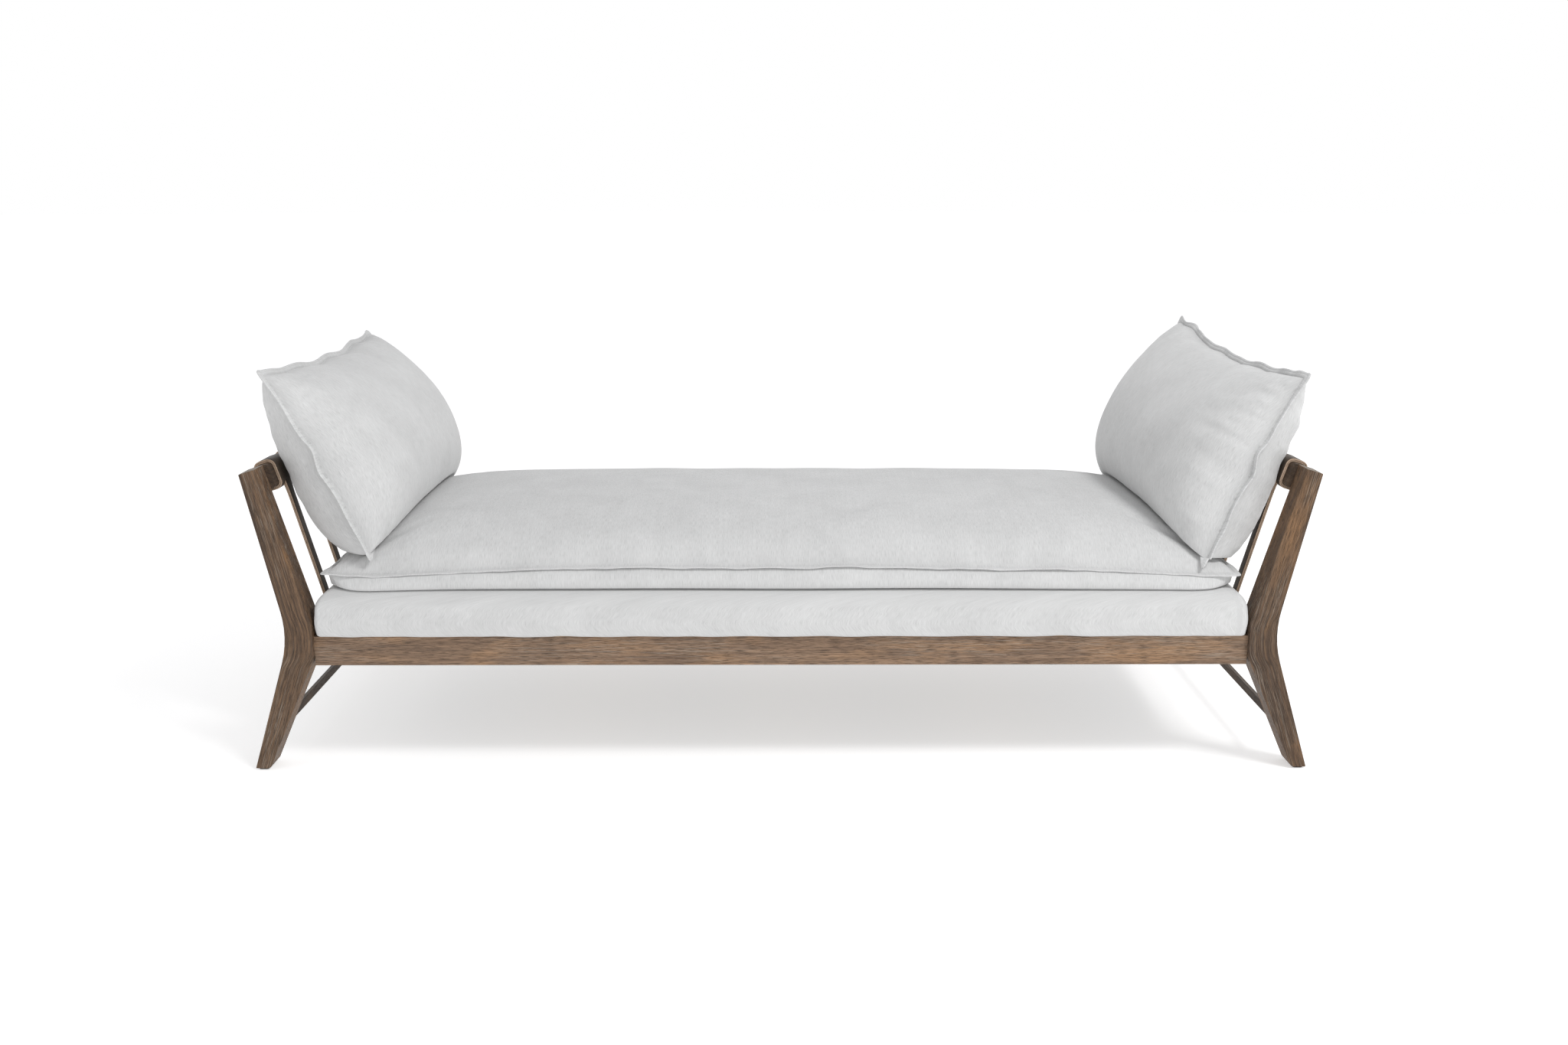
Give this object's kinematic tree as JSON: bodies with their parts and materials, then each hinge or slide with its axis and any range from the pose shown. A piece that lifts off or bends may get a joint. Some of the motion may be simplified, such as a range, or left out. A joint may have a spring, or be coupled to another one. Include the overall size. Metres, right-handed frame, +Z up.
{
  "type": "daybed",
  "caption": "Backless daybed with splayed wooden end frames, leather strap ends, an upholstered deck, a loose mattress cushion and a leaning pillow at each end.",
  "frame": {"origin": "on the floor under the middle of the daybed", "axes": "+X along the length to the right as seen from the front, -Y towards the front, +Z up"},
  "size_m": [2.133, 0.838, 0.8243],
  "materials": {
    "leg_wood": "weathered brown, cerused grain, matte",
    "rail_wood": "weathered brown, cerused grain, matte",
    "dark_wood": "dark brown stain, matte",
    "inner_wood": "unfinished hardwood",
    "strap_leather": "dark brown saddle leather with raw tan edges",
    "screw_brass": "antiqued",
    "zinc_steel": "zinc plated",
    "glide_plastic": "matte",
    "webbing": "woven elastic",
    "foam": "open cell foam",
    "fibre_wrap": "fibre fill",
    "cover_fabric": "pale oatmeal-grey woven chenille, matte",
    "dust_cloth": "thin non-woven cloth"
  },
  "bodies": {
    "frame": {"leg_front_left": "leg_wood", "leg_front_right": "leg_wood", "leg_rear_left": "leg_wood", "leg_rear_right": "leg_wood", "front_rail": "rail_wood", "rear_rail": "rail_wood", "end_rail_left": "rail_wood", "end_rail_right": "rail_wood", "crossrail_left": "dark_wood", "crossrail_right": "dark_wood", "stretcher_left": "dark_wood", "stretcher_right": "dark_wood", "strap_left_1": "strap_leather", "strap_left_2": "strap_leather", "strap_left_3": "strap_leather", "strap_left_4": "strap_leather", "strap_left_5": "strap_leather", "strap_left_6": "strap_leather", "strap_right_1": "strap_leather", "strap_right_2": "strap_leather", "strap_right_3": "strap_leather", "strap_right_4": "strap_leather", "strap_right_5": "strap_leather", "strap_right_6": "strap_leather", "strap_screws_left": "screw_brass", "strap_screws_right": "screw_brass", "bed_bolts": "zinc_steel", "barrel_nuts": "zinc_steel", "bolt_plugs": "leg_wood", "rail_dowels": "inner_wood", "crossrail_dowels": "inner_wood", "corner_blocks": "inner_wood", "corner_screws": "zinc_steel", "brace_left": "inner_wood", "brace_middle": "inner_wood", "brace_right": "inner_wood", "foot_glides": "glide_plastic", "deck_frame_front": "inner_wood", "deck_frame_rear": "inner_wood", "deck_frame_left": "inner_wood", "deck_frame_right": "inner_wood", "deck_webbing_cross": "webbing", "deck_webbing_long": "webbing", "deck_foam": "foam", "deck_cover": "cover_fabric", "dust_cover": "dust_cloth"},
    "mattress": {"mattress_cover": "cover_fabric", "mattress_wrap": "fibre_wrap", "mattress_core": "foam"},
    "pillow_left": {"pillow_cover_left": "cover_fabric", "pillow_insert_left": "fibre_wrap"},
    "pillow_right": {"pillow_cover_right": "cover_fabric", "pillow_insert_right": "fibre_wrap"}
  },
  "joints": [
    {"name": "mattress_lift", "type": "slide", "parent": "frame", "child": "mattress", "axis": [0, 0, 1], "range_m": [0, 0.35]},
    {"name": "pillow_left_lift", "type": "slide", "parent": "mattress", "child": "pillow_left", "axis": [0, 0, 1], "range_m": [0, 0.35]},
    {"name": "pillow_right_lift", "type": "slide", "parent": "mattress", "child": "pillow_right", "axis": [0, 0, 1], "range_m": [0, 0.35]}
  ]
}
